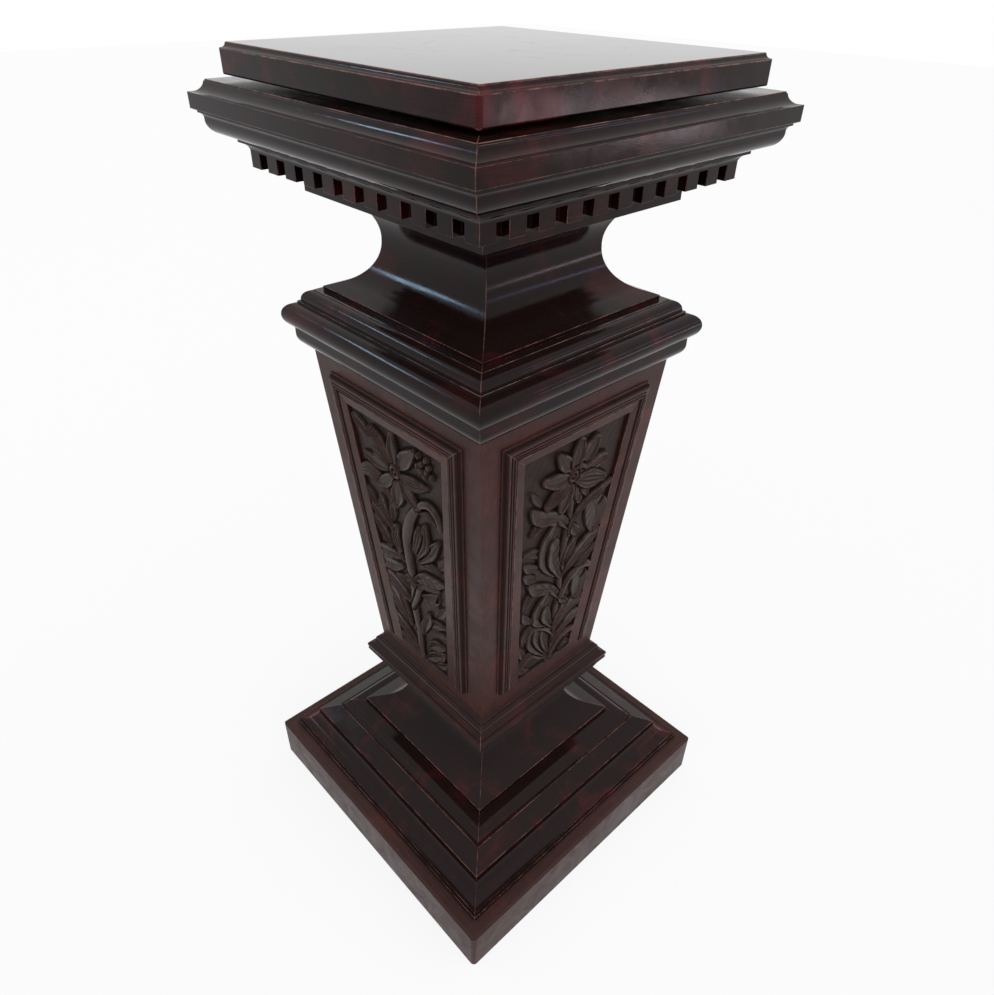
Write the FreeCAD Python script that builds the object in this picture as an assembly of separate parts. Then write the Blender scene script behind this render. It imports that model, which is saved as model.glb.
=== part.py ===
import FreeCAD, Part
import math
import os

# Square pedestal column stand in mahogany, millimetres, standing on z = 0 with its axis on Z.
# Every moulding is a section in (w, z), w being the distance from the axis to the face,
# run along one face and mitred at 45 degrees against the next.

V = FreeCAD.Vector

# ---- overall sizes ----
HEIGHT = 1050.0            # floor to the upper face of the revolving top
TOP_HALF = 182.0           # half width of the revolving top
TOP_THICK = 27.0
PIVOT_GAP = 4.0            # two swivel plates between the top and the cornice
TOP_CORNER_R = 4.0

PLINTH_HALF = 240.0
PLINTH_H = 70.0
PLINTH_WALL = 30.0
PLINTH_CORNER_R = 6.0

BASE_TOP = 132.5           # upper face of the base moulding
BASE_INNER = 128.0
SCOTIA_TOP = 231.0         # lower face of the shaft
FOOT_TOP = 288.5
SHAFT_END = 795.0          # upper end of the shaft boards, inside the capital
SHAFT_W0 = 109.7           # half width of the shaft at SHAFT_Z0
SHAFT_Z0 = 294.0
SHAFT_TAPER = 0.0751       # half width gained per millimetre of height
SHAFT_BOARD = 20.0
CAPITAL_LOW = 748.8
CAPITAL_TOP = 816.0
NECK_TOP = 919.5
CORE_HALF = 66.0           # hollow inside the neck and the base scotia
DENTIL_TOP = 968.5
CORNICE_TOP = HEIGHT - TOP_THICK - PIVOT_GAP

# ---- dentils ----
DENTIL_FACE = 170.8
DENTIL_LOW = 941.0
DENTIL_HIGH = 957.5
DENTIL_SLOTS = 10
DENTIL_PITCH = 32.6
SLOT_WIDTH = 13.8
SLOT_DEEP = 9.0

# ---- panel frame on each shaft face ----
STILE = 27.0               # plain margin between the shaft corner and the frame
FRAME_SECTION = 40.0       # widest part of the frame section, cut back by each leg and rail
RAIL_WIDE = 28.5
OPENING_LOW = 49.8         # half width of the panel opening at its foot
FRAME_TOP_Z = 727.3
FRAME_LOW_Z = 322.0
PANEL_THICK = 2.5
PANEL_LIP = 4.5

# ---- swivel ----
PLATE_R = 60.0
PLATE_T = PIVOT_GAP / 2.0
PIN_R = 8.0
PIN_PLAY = 0.05
PIN_LOW = 984.0
TOP_BOARD_T = 18.0
NUT_T = 10.0
NUT_AF = 24.0

BIG = 300.0
FACES = (("right", 0.0), ("back", 90.0), ("left", 180.0), ("front", 270.0))

os.makedirs("parts", exist_ok=True)


def save(name, shape):
    """Write one node as a STEP file."""
    shape.exportStep("parts/" + name + ".step")
    print(name, round(shape.Volume / 1000.0, 1), "cm3", len(shape.Solids), "solid", shape.isValid())


def shaft_w(z):
    """Half width of the tapered shaft at height z."""
    return SHAFT_W0 + SHAFT_TAPER * (z - SHAFT_Z0)


def outline(steps, put):
    """Closed wire from (a, b) corners; a third value bends the line that ends there.

    The third value is the rise of the arc over its chord, a quarter round being 0.2071.
    """
    edges = []
    for i, step in enumerate(steps):
        old = steps[i - 1]
        start = put(old[0], old[1])
        end = put(step[0], step[1])
        if len(step) == 3:
            mid_a = (old[0] + step[0]) / 2.0 + step[2] * (step[1] - old[1])
            mid_b = (old[1] + step[1]) / 2.0 - step[2] * (step[0] - old[0])
            edges.append(Part.Arc(start, put(mid_a, mid_b), end).toShape())
        else:
            edges.append(Part.LineSegment(start, end).toShape())
    return Part.Wire(edges)


def mitred(steps):
    """One side of a mitred moulding on the +X face."""
    wire = outline(steps, lambda w, z: V(w, -BIG, z))
    run = Part.Face(wire).extrude(V(0, 2 * BIG, 0))
    corner = Part.makePolygon([V(0, 0, -1), V(BIG, -BIG, -1), V(BIG, BIG, -1), V(0, 0, -1)])
    wedge = Part.Face(corner).extrude(V(0, 0, HEIGHT + 2))
    return run.common(wedge).Solids[0]


def on_face(shape, degrees):
    """Copy of a +X side turned to another face."""
    turned = shape.copy()
    turned.rotate(V(0, 0, 0), V(0, 0, 1), degrees)
    return turned


def save_ring(name, side):
    """The four sides of one ring, each its own node."""
    for face, degrees in FACES:
        save(name + "_" + face, on_face(side, degrees))


def rounded_square(half, radius, low, high):
    """Square prism with rounded vertical corners."""
    block = Part.makeBox(2 * half, 2 * half, high - low, V(-half, -half, low))
    upright = [e for e in block.Edges if abs(e.BoundBox.ZLength - (high - low)) < 1e-6]
    return block.makeFillet(radius, upright)


QUARTER = 0.2071

# ---- plinth: four mitred boards, eased along the upper edge and rounded at the corners ----
plinth = mitred([
    (PLINTH_HALF - PLINTH_WALL, 0.0),
    (PLINTH_HALF, 0.0),
    (PLINTH_HALF, PLINTH_H - 4.0),
    (PLINTH_HALF - 4.0, PLINTH_H, QUARTER),
    (PLINTH_HALF - PLINTH_WALL, PLINTH_H),
])
plinth = plinth.common(rounded_square(PLINTH_HALF, PLINTH_CORNER_R, -1.0, PLINTH_H + 1.0)).Solids[0]
save_ring("plinth", plinth)

# ---- base moulding: two fillets, cavetto, weathered slope, small ovolo and fillet ----
base = mitred([
    (BASE_INNER, PLINTH_H),
    (221.5, PLINTH_H),
    (221.5, 76.5),
    (218.5, 76.5),
    (218.5, 81.5),
    (193.5, 104.5, -QUARTER),
    (193.0, 107.0),
    (168.0, 118.5),
    (167.0, 118.5),
    (167.0, 122.0),
    (160.0, 125.5, -0.18),
    (159.0, 127.0),
    (148.5, BASE_TOP, 0.18),
    (BASE_INNER, BASE_TOP),
])
save_ring("base_moulding", base)

# ---- base scotia: fillet, straight tail and a hollow that closes in under the shaft ----
scotia = mitred([
    (CORE_HALF, BASE_TOP),
    (137.0, BASE_TOP),
    (137.0, 138.5),
    (113.0, 148.5),
    (85.0, 190.5, -0.153),
    (104.0, 227.5, -0.13),
    (112.0, 227.5),
    (112.0, SCOTIA_TOP),
    (CORE_HALF, SCOTIA_TOP),
])
save_ring("base_scotia", scotia)

# ---- foot moulding round the lower end of the shaft ----
foot = mitred([
    (shaft_w(SCOTIA_TOP), SCOTIA_TOP),
    (116.5, SCOTIA_TOP),
    (125.0, 252.0),
    (127.5, 255.0, 0.30),
    (126.0, 258.0, 0.25),
    (128.0, 262.0, 0.20),
    (124.5, 267.0, 0.25),
    (118.8, 274.5, -0.20),
    (118.3, 277.5),
    (113.5, 282.0, 0.16),
    (112.5, 284.0),
    (shaft_w(FOOT_TOP), FOOT_TOP, -0.15),
])
save_ring("foot_moulding", foot)

# ---- tapered shaft boards ----
shaft = mitred([
    (shaft_w(SCOTIA_TOP) - SHAFT_BOARD, SCOTIA_TOP),
    (shaft_w(SCOTIA_TOP), SCOTIA_TOP),
    (shaft_w(SHAFT_END), SHAFT_END),
    (shaft_w(SHAFT_END) - SHAFT_BOARD, SHAFT_END),
])
save_ring("shaft_board", shaft)

# ---- capital: ovolo, fillet, torus, fillet and an under-ovolo ----
capital = mitred([
    (shaft_w(CAPITAL_LOW), CAPITAL_LOW),
    (157.3, 763.0, 0.19),
    (157.3, 772.5),
    (153.5, 800.0, 0.42),
    (152.5, 800.0),
    (152.5, 803.0),
    (149.5, 803.0),
    (149.5, 805.0),
    (138.5, 815.0, 0.20),
    (138.5, CAPITAL_TOP),
    (112.0, CAPITAL_TOP),
    (112.0, SHAFT_END),
    (shaft_w(SHAFT_END), SHAFT_END),
])
save_ring("capital", capital)

# ---- neck: deep scotia between the capital and the dentil course ----
neck = mitred([
    (CORE_HALF, CAPITAL_TOP),
    (130.5, CAPITAL_TOP),
    (130.5, 820.5),
    (129.5, 820.8),
    (113.0, 827.0),
    (82.3, 872.1, -0.153),
    (112.7, 917.0, -0.17),
    (112.7, NECK_TOP),
    (CORE_HALF, NECK_TOP),
])
save_ring("neck", neck)

# ---- dentil course: blocks left between square slots, over a plain strip ----
dentil = mitred([
    (100.0, NECK_TOP),
    (135.5, NECK_TOP),
    (135.5, 926.0),
    (150.0, DENTIL_LOW, -QUARTER),
    (DENTIL_FACE, DENTIL_LOW),
    (DENTIL_FACE, DENTIL_HIGH),
    (177.5, 964.0, -0.15),
    (178.8, 964.0),
    (178.8, DENTIL_TOP),
    (100.0, DENTIL_TOP),
])
slot = Part.makeBox(
    SLOT_DEEP + 1.0, SLOT_WIDTH, DENTIL_HIGH - DENTIL_LOW,
    V(DENTIL_FACE - SLOT_DEEP, -SLOT_WIDTH / 2.0, DENTIL_LOW - 1.5),
)
slots = []
for i in range(DENTIL_SLOTS):
    one = slot.copy()
    one.translate(V(0, (i - (DENTIL_SLOTS - 1) / 2.0) * DENTIL_PITCH, 0))
    slots.append(one)
dentil = dentil.cut(Part.makeCompound(slots)).Solids[0]
save_ring("dentil_course", dentil)

# ---- cornice: ovolo, small cavetto, fascia and the cove round the ledge ----
cornice = mitred([
    (150.0, DENTIL_TOP),
    (180.0, DENTIL_TOP),
    (186.5, 970.5),
    (199.5, 984.0, QUARTER),
    (199.5, 986.0),
    (203.5, 990.0, -0.18),
    (203.5, 991.5),
    (208.0, 993.5),
    (208.0, 1008.0),
    (195.5, CORNICE_TOP - 1.5, -QUARTER),
    (194.5, CORNICE_TOP - 1.5),
    (194.5, CORNICE_TOP),
    (150.0, CORNICE_TOP),
])
save_ring("cornice", cornice)

# ---- panel frames: a moulding with a hollow, an ovolo, two reeds and a sloping band, on each face ----
TILT = math.atan(SHAFT_TAPER)


def slope_v(z):
    """Distance up the tapered face from the height of the frame's lower end."""
    return (z - FRAME_LOW_Z) / math.cos(TILT)


def face_place():
    """Placement that carries (u, v, n) of a shaft face to the +X face."""
    c, s = math.cos(TILT), math.sin(TILT)
    m = FreeCAD.Matrix()
    m.A11, m.A12, m.A13, m.A14 = 0.0, s, c, shaft_w(FRAME_LOW_Z)
    m.A21, m.A22, m.A23, m.A24 = 1.0, 0.0, 0.0, 0.0
    m.A31, m.A32, m.A33, m.A34 = 0.0, c, -s, FRAME_LOW_Z
    return FreeCAD.Placement(m)


def moulding_run(start, end):
    """Straight length of the frame section, its outer edge on start to end, body to the left."""
    along = (end - start).normalize()
    across = V(-along.y, along.x, 0)
    section = [
        (0.0, 0.0), (FRAME_SECTION, 0.0), (FRAME_SECTION, 4.2), (17.8, 6.1),
        (16.6, 5.4), (15.4, 6.2), (12.2, 6.2, 0.42), (11.8, 6.2), (8.6, 6.2, 0.42),
        (8.0, 6.2), (7.4, 7.2), (6.2, 7.2), (2.4, 4.2, 0.2), (0.0, 1.2, -0.2),
    ]
    back = start - along * 60.0
    wire = outline(section, lambda a, n: back + across * a + V(0, 0, n))
    return Part.Face(wire).extrude(along * ((end - start).Length + 120.0))


def plan(points):
    """Upright prism over a plan outline on the face."""
    wire = Part.makePolygon([V(u, v, -1) for u, v in points + points[:1]])
    return Part.Face(wire).extrude(V(0, 0, 12))


out_low = V(shaft_w(FRAME_LOW_Z) - STILE, 0, 0)
out_top = V(shaft_w(FRAME_TOP_Z) - STILE, slope_v(FRAME_TOP_Z), 0)
leg = (out_top - out_low).normalize()
inward = V(-leg.y, leg.x, 0)
in_v = out_top.y - RAIL_WIDE
mitre_base = out_low + inward * RAIL_WIDE
in_top_u = mitre_base.x + (in_v - mitre_base.y) * leg.x / leg.y
in_low_u = OPENING_LOW

leg_solid = moulding_run(out_low, out_top).common(
    plan([(out_low.x, 0), (out_top.x, out_top.y), (in_top_u, in_v), (in_low_u, 0)])
).Solids[0]
rail_solid = moulding_run(out_top, V(-out_top.x, out_top.y, 0)).common(
    plan([(out_top.x, out_top.y), (-out_top.x, out_top.y), (-in_top_u, in_v), (in_top_u, in_v)])
).Solids[0]
leg_mirror = leg_solid.mirror(V(0, 0, 0), V(1, 0, 0))

# the carved panel: thin ground between the legs, with a low lip along its foot
ground = Part.Face(Part.makePolygon([
    V(-in_low_u, 0, 0), V(in_low_u, 0, 0), V(in_top_u, in_v, 0), V(-in_top_u, in_v, 0), V(-in_low_u, 0, 0),
])).extrude(V(0, 0, PANEL_THICK))
lip_u = in_low_u + PANEL_LIP * (in_top_u - in_low_u) / in_v
lip = Part.Face(Part.makePolygon([
    V(-in_low_u, 0, 0), V(in_low_u, 0, 0), V(lip_u, PANEL_LIP, 0), V(-lip_u, PANEL_LIP, 0), V(-in_low_u, 0, 0),
])).extrude(V(0, 0, 5.0))
panel = ground.fuse(lip).removeSplitter().Solids[0]

for name, piece in (
    ("frame_stile_a", leg_solid), ("frame_stile_b", leg_mirror),
    ("frame_rail", rail_solid), ("carved_panel", panel),
):
    seated = piece.copy()
    seated.Placement = face_place().multiply(seated.Placement)
    save_ring(name, seated)

# ---- boards and blocks inside the stand ----
top_board = Part.makeBox(300, 300, TOP_BOARD_T, V(-150, -150, CORNICE_TOP - TOP_BOARD_T))
bore = Part.makeCylinder(PIN_R + 1.0, TOP_BOARD_T + 2, V(0, 0, CORNICE_TOP - TOP_BOARD_T - 1))
save("top_board", top_board.cut(bore).Solids[0])

save("base_board", Part.makeBox(2 * BASE_INNER, 2 * BASE_INNER, 25, V(-BASE_INNER, -BASE_INNER, BASE_TOP - 25)))

inner = PLINTH_HALF - PLINTH_WALL
block = Part.Face(Part.makePolygon([
    V(inner, inner, 12), V(inner - 60, inner, 12), V(inner, inner - 60, 12), V(inner, inner, 12),
])).extrude(V(0, 0, PLINTH_H - 12))
save("corner_blocks", Part.makeCompound([on_face(block, degrees) for _, degrees in FACES]))

# ---- swivel: lower plate on the stand, upper plate, pin and nut on the revolving top ----
lower_plate = Part.makeCylinder(PLATE_R, PLATE_T, V(0, 0, CORNICE_TOP))
socket = Part.makeCylinder(PIN_R + PIN_PLAY, PLATE_T + 2, V(0, 0, CORNICE_TOP - 1))
save("lower_swivel_plate", lower_plate.cut(socket).Solids[0])

upper_plate = Part.makeCylinder(PLATE_R, PLATE_T, V(0, 0, CORNICE_TOP + PLATE_T))
eye = Part.makeCylinder(PIN_R, PLATE_T + 2, V(0, 0, CORNICE_TOP + PLATE_T - 1))
save("upper_swivel_plate", upper_plate.cut(eye).Solids[0])

save("pivot_pin", Part.makeCylinder(PIN_R, HEIGHT - TOP_THICK - PIN_LOW, V(0, 0, PIN_LOW)))

hexagon = []
for i in range(7):
    turn = math.radians(60 * i)
    reach = NUT_AF / 2.0 / math.cos(math.radians(30))
    hexagon.append(V(reach * math.cos(turn), reach * math.sin(turn), PIN_LOW + 4))
nut = Part.Face(Part.makePolygon(hexagon)).extrude(V(0, 0, NUT_T))
save("pivot_nut", nut.cut(Part.makeCylinder(PIN_R, NUT_T + 2, V(0, 0, PIN_LOW + 3))).Solids[0])

# ---- revolving top: one board, a sunk cavetto round the upper edge ----
edge = [
    (-TOP_HALF, HEIGHT - TOP_THICK + 2.0),
    (-TOP_HALF + 2.0, HEIGHT - TOP_THICK, QUARTER),
    (TOP_HALF - 2.0, HEIGHT - TOP_THICK),
    (TOP_HALF, HEIGHT - TOP_THICK + 2.0, QUARTER),
    (TOP_HALF, HEIGHT - 5.5),
    (TOP_HALF - 0.8, HEIGHT - 5.0),
    (TOP_HALF - 5.2, HEIGHT - 0.8, -QUARTER),
    (TOP_HALF - 6.0, HEIGHT),
    (-TOP_HALF + 6.0, HEIGHT),
    (-TOP_HALF + 5.2, HEIGHT - 0.8),
    (-TOP_HALF + 0.8, HEIGHT - 5.0, -QUARTER),
    (-TOP_HALF, HEIGHT - 5.5),
]
along_y = Part.Face(outline(edge, lambda w, z: V(w, -BIG, z))).extrude(V(0, 2 * BIG, 0))
along_x = along_y.copy()
along_x.rotate(V(0, 0, 0), V(0, 0, 1), 90)
top = along_y.common(along_x)
top = top.common(rounded_square(TOP_HALF, TOP_CORNER_R, HEIGHT - TOP_THICK - 1, HEIGHT + 1)).Solids[0]
save("top_slab", top)
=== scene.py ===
"""Square mahogany pedestal column stand: its eased timber, carved panels, finishes and studio."""
import logging
import math
from collections.abc import Callable
from dataclasses import dataclass, field
from enum import Enum
from functools import partial

import bpy
import numpy as np
from mathutils import Matrix, Vector


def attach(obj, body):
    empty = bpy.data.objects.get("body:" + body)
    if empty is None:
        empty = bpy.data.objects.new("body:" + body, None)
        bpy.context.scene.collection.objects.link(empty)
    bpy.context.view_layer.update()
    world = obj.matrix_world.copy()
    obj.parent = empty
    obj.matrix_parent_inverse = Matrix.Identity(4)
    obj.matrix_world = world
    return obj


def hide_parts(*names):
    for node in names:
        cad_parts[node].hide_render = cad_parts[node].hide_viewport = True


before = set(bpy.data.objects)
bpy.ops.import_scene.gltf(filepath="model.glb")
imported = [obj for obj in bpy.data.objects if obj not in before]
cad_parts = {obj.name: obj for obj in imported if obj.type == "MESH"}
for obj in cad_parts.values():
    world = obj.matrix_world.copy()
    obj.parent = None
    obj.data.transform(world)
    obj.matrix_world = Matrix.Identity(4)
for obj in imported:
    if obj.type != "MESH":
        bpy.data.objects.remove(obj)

log = logging.getLogger("pedestal")
MM = 0.001
TURNS = {"right": 0.0, "back": 90.0, "left": 180.0, "front": 270.0}
STAND = "stand"
REVOLVING_TOP = "revolving_top"
WHITE = (1.0, 1.0, 1.0, 1.0)
Face = bpy.types.MeshPolygon
Material = bpy.types.Material
Mesh = bpy.types.Mesh
Node = bpy.types.Node
Piece = bpy.types.Object
Socket = bpy.types.NodeSocket
Tree = bpy.types.NodeTree
Adder = Callable[..., Node]

# options of shader nodes that are used again and again: KEPT and SHARE stay between 0 and 1.
# The list given to a MapRange is its value, where that starts and ends, and the results there
SMOOTH = {"interpolation_type": "SMOOTHSTEP"}
COLOURS = {"data_type": "RGBA"}
SCALE, MULTIPLY, MAXIMUM, ABSOLUTE, SUBTRACT = (
    {"operation": name} for name in ("SCALE", "MULTIPLY", "MAXIMUM", "ABSOLUTE", "SUBTRACT"))
MULTIPLY_KEPT = {"operation": "MULTIPLY", "use_clamp": True}
ADD_SHARE = {"operation": "MULTIPLY_ADD", "use_clamp": True}


class Grain(Enum):
    """The way the fibres of a board run, as the axis of the object that they follow."""

    ALONG_X = 0
    ALONG_Y = 1
    UPRIGHT = 2


# ---- small helpers


def linear_colour(code: str) -> tuple[float, float, float, float]:
    """Turns an sRGB hex code to linear light.

    Args:
        code: Six hex digits after a hash.

    Returns:
        Red, green, blue and an alpha of one.
    """
    channels = [int(code[i:i + 2], 16) / 255.0 for i in (1, 3, 5)]
    light = [c / 12.92 if c <= 0.04045 else ((c + 0.055) / 1.055) ** 2.4 for c in channels]
    return (light[0], light[1], light[2], 1.0)


def add_node(tree: Tree, kind: str, settings: dict | None = None,
             inputs: dict | list | None = None) -> Node:
    """Adds one node to a shader tree.

    Args:
        tree: The node tree.
        kind: Blender's name for the node, without ShaderNode before it.
        settings: Values of the node's own options.
        inputs: For each input, by its name or place or all in order, a value, the socket that
            feeds it, or a node whose first output does.

    Returns:
        The new node.
    """
    made = tree.nodes.new("ShaderNode" + kind)
    for option, value in (settings or {}).items():
        setattr(made, option, value)
    given = inputs if isinstance(inputs, dict) else dict(enumerate(inputs or ()))
    for socket, value in given.items():
        if isinstance(value, Node):
            value = value.outputs[0]
        if isinstance(value, Socket):
            tree.links.new(value, made.inputs[socket])
        else:
            made.inputs[socket].default_value = value
    return made


def bare_material(name: str) -> tuple[Material, Adder]:
    """Starts a material with nothing in its tree.

    Args:
        name: The material's name.

    Returns:
        The material, and a function that adds a node to it.
    """
    material = bpy.data.materials.new(name)
    material.use_nodes = True
    material.node_tree.nodes.clear()
    return material, partial(add_node, material.node_tree)


def texture_scale(size_mm: float) -> float:
    """Turns the size of a pattern to the scale of its texture."""
    return 1.0 / (size_mm * MM)


def pick(*pieces: Piece) -> None:
    """Selects these pieces and nothing else, the first of them active."""
    if bpy.context.object and bpy.context.object.mode != "OBJECT":
        bpy.ops.object.mode_set(mode="OBJECT")
    bpy.ops.object.select_all(action="DESELECT")
    for piece in pieces:
        piece.select_set(True)
    bpy.context.view_layer.objects.active = pieces[0]


def read_points(mesh: Mesh) -> np.ndarray:
    """Reads a mesh's vertex places.

    Args:
        mesh: The mesh.

    Returns:
        One row of x, y, z for each vertex.
    """
    places = np.empty(len(mesh.vertices) * 3)
    mesh.vertices.foreach_get("co", places)
    return places.reshape(-1, 3)


def keep_values(mesh: Mesh, name: str, values: np.ndarray, domain: str) -> None:
    """Stores one number for each point or face, for a material to read.

    Args:
        mesh: The mesh.
        name: The attribute's name.
        values: One value for each point or face.
        domain: POINT or FACE.
    """
    if name not in mesh.attributes:
        mesh.attributes.new(name, "FLOAT", domain)
    mesh.attributes[name].data.foreach_set("value", values.astype(np.float32))


# ---- finishes


@dataclass(frozen=True)
class FrenchPolish:
    """Mahogany stained dark red-brown under a built-up shellac film.

    The film gives a deep, slightly wavy gloss that goes cloudy in patches. It is rubbed through to
    paler timber along the arrises, and brown in the quirks with old wax and painted shade. It shows
    red where it is thin, partly the red timber itself and partly painted reddish glints.
    """

    name: str
    deep: str = "#1a0708"
    ruddy_and_glint: str = "#4a1114"
    # the ruddy patches are partly red timber under a thin film and partly painted reddish glints
    rubbed: str = "#a06f62"
    # the dark colour of the quirks stands for old wax and painted shade
    grime: str = "#0e0807"
    dust: str = "#8a837c"
    thin_from: float = 0.58
    gloss: float = 0.07
    cloudy: float = 0.13
    ripple_mm: float = 0.16
    wear: float = 0.75
    mitre_wear: float = 0.75
    dusty: float = 0.25
    fibre_mm: float = 1.3
    fibre_long_mm: float = 80.0
    pore_mm: float = 0.7
    pore_long_mm: float = 11.0
    patch_mm: float = 62.0
    mitre_mm: float = 0.8
    worn_mm: float = 26.316
    speck_mm: float = 1.6129
    smear_mm: float = 50.0
    swell_mm: float = 23.8095
    # the film reflects less than fresh shellac, so that the white room leaves the timber dark
    film: float = 0.14
    ringed: bool = False
    ring_patch_mm: float = 58.8235
    ring_marks: tuple = ((0.012, 0.028, 0.093), (-0.034, -0.012, 0.071), (0.046, 0.051, 0.058))
    top_high: float = 1.05

    def build(self, grain: Grain) -> Material:
        """Builds the material for one way of the grain.

        Args:
            grain: The axis that the fibres follow.

        Returns:
            The finished material.
        """
        material, add = bare_material(f"{self.name}_{grain.name.lower()}")
        place = add("TexCoord").outputs["Object"]
        fibre = self._stretched_noise(add, place, grain, self.fibre_mm, self.fibre_long_mm, 5.0)
        pores = self._stretched_noise(add, place, grain, self.pore_mm, self.pore_long_mm, 2.0)
        patch = add("TexNoise", None, {
            "Vector": place, "Scale": texture_scale(self.patch_mm), "Detail": 3.0,
            "Roughness": 0.55, "Distortion": 0.6})
        # thin polish and painted reddish glints: the red timber shows in a few soft patches drawn
        # out by the fibre, partly its own colour under a thin film and partly a painted glint
        mixed = add("Math", {"operation": "MULTIPLY_ADD"}, [fibre, 0.18, patch])
        thin = add("MapRange", SMOOTH, [mixed, self.thin_from, self.thin_from + 0.34])
        stain = add("Mix", COLOURS, {
            0: thin, 6: linear_colour(self.deep), 7: linear_colour(self.ruddy_and_glint)})
        streak = add("MapRange", None, [fibre, 0.3, 0.72, 0.72, 1.32])
        grained = add("VectorMath", SCALE, {0: stain.outputs[2], "Scale": streak})
        pitted = add("MapRange", SMOOTH, [pores, 0.60, 0.70, 1.0, 0.50])
        timber = add("VectorMath", SCALE, {0: grained, "Scale": pitted})
        rub = self._rubbed_mask(add, place)
        worn = add("Mix", COLOURS, {0: rub, 6: timber, 7: linear_colour(self.rubbed)})
        # quirks and concave edges darken with old wax and painted shade
        quirk = add("Attribute", {"attribute_name": "grime"})
        dirty = add("Mix", COLOURS, {
            0: quirk.outputs["Fac"], 6: worn.outputs[2], 7: linear_colour(self.grime)})
        settled = self._dust_mask(add, place)
        colour = add("Mix", COLOURS, {0: settled, 6: dirty.outputs[2], 7: linear_colour(self.dust)})
        rough = self._roughness(add, place, rub, quirk, settled)
        bump = self._bump(add, place, pores)
        shader = add("BsdfPrincipled", None, {
            "Base Color": colour.outputs[2], "Roughness": rough, "IOR": 1.5,
            "Specular IOR Level": self.film, "Coat Weight": 0.0, "Normal": bump})
        add("OutputMaterial", None, {0: shader})
        return material

    @staticmethod
    def _stretched_noise(add: Adder, place: Socket, grain: Grain, across_mm: float, along_mm: float,
                         detail: float) -> Node:
        """Adds noise drawn out along the fibres.

        Args:
            add: Adds a node to the material.
            place: The object coordinates.
            grain: The axis of the fibres.
            across_mm: Size across the fibres.
            along_mm: Size along them.
            detail: Octaves of the noise.

        Returns:
            The noise node.
        """
        scale = [texture_scale(across_mm)] * 3
        scale[grain.value] = texture_scale(along_mm)
        drawn = add("Mapping", None, {"Vector": place, "Scale": scale})
        return add("TexNoise", None, {
            "Vector": drawn, "Scale": 1.0, "Detail": detail, "Roughness": 0.6})

    def _rubbed_mask(self, add: Adder, place: Socket) -> Node:
        """Adds the mask of rubbed arrises and open mitres, broken up along their length.

        Args:
            add: Adds a node to the material.
            place: The object coordinates.

        Returns:
            The node whose first output is the mask.
        """
        arris = add("Attribute", {"attribute_name": "wear"})
        edge = add("Math", MULTIPLY, [arris.outputs["Fac"], self.wear])
        parts = add("SeparateXYZ", None, {0: place})
        across = [add("Math", ABSOLUTE, [parts.outputs[i]]) for i in (0, 1)]
        apart = add("Math", SUBTRACT, [across[0], across[1]])
        gap = add("Math", ABSOLUTE, {0: apart})
        mitre = add("MapRange", SMOOTH, [gap, 0.0, self.mitre_mm * MM, self.mitre_wear, 0.0])
        either = add("Math", MAXIMUM, [edge, mitre])
        broken = add("TexNoise", None, {
            "Vector": place, "Scale": texture_scale(self.worn_mm), "Detail": 5.0,
            "Roughness": 0.72})
        kept = add("MapRange", SMOOTH, [broken, 0.40, 0.62, 0.06, 1.0])
        return add("Math", MULTIPLY_KEPT, [either, kept])

    def _dust_mask(self, add: Adder, place: Socket) -> Node:
        """Adds a faint mask of dust that lies on level ledges, with a few pale specks.

        Args:
            add: Adds a node to the material.
            place: The object coordinates.

        Returns:
            The node whose first output is the mask.
        """
        facing = add("NewGeometry")
        normal = add("SeparateXYZ", None, {0: facing.outputs["Normal"]})
        level = add("MapRange", SMOOTH, [normal.outputs[2], 0.45, 1.0])
        specks = add("TexNoise", None, {
            "Vector": place, "Scale": texture_scale(self.speck_mm), "Detail": 2.0,
            "Roughness": 0.6})
        fleck = add("MapRange", SMOOTH, [specks, 0.70, 0.80, 0.10 * self.dusty, 2.0 * self.dusty])
        return add("Math", MULTIPLY_KEPT, [level, fleck])

    def _roughness(self, add: Adder, place: Socket, rub: Node, quirk: Node, settled: Node) -> Node:
        """Adds the roughness: a film cloudy in patches, dull where rubbed, dusty or dirty.

        Args:
            add: Adds a node to the material.
            place: The object coordinates.
            rub: The rubbed mask.
            quirk: The attribute of old wax and painted shade.
            settled: The dust mask.

        Returns:
            The node whose first output is the roughness.
        """
        smear = add("TexNoise", None, {
            "Vector": place, "Scale": texture_scale(self.smear_mm), "Detail": 6.0,
            "Roughness": 0.72, "Distortion": 1.4})
        total = add("MapRange", None, [smear, 0.36, 0.68, self.gloss, self.gloss + self.cloudy])
        for mask, amount in ((rub, 0.30), (quirk.outputs["Fac"], 0.30), (settled, 0.45)):
            total = add("Math", ADD_SHARE, [mask, amount, total])
        if self.ringed:
            rings = self._ring_marks(add, place)
            total = add("Math", ADD_SHARE, [rings, 0.10, total])
        return total

    def _ring_marks(self, add: Adder, place: Socket) -> Node:
        """Adds the faint rings and rubs that pots have left on the top.

        Args:
            add: Adds a node to the material.
            place: The object coordinates.

        Returns:
            The node whose first output is the mask.
        """
        total = None
        for x, y, radius in self.ring_marks:
            arm = add("VectorMath", {"operation": "DISTANCE"}, {0: place, 1: (x, y, self.top_high)})
            off = add("Math", SUBTRACT, [arm.outputs["Value"], radius])
            size = add("Math", ABSOLUTE, {0: off})
            ring = add("MapRange", SMOOTH, [size, 0.0004, 0.0026, 1.0, 0.0])
            total = ring if total is None else add("Math", MAXIMUM, [total, ring])
        patchy = add("TexNoise", None, {
            "Vector": place, "Scale": texture_scale(self.ring_patch_mm), "Detail": 4.0,
            "Roughness": 0.75})
        kept = add("MapRange", SMOOTH, [patchy, 0.46, 0.62])
        return add("Math", MULTIPLY, [total, kept])

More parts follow.
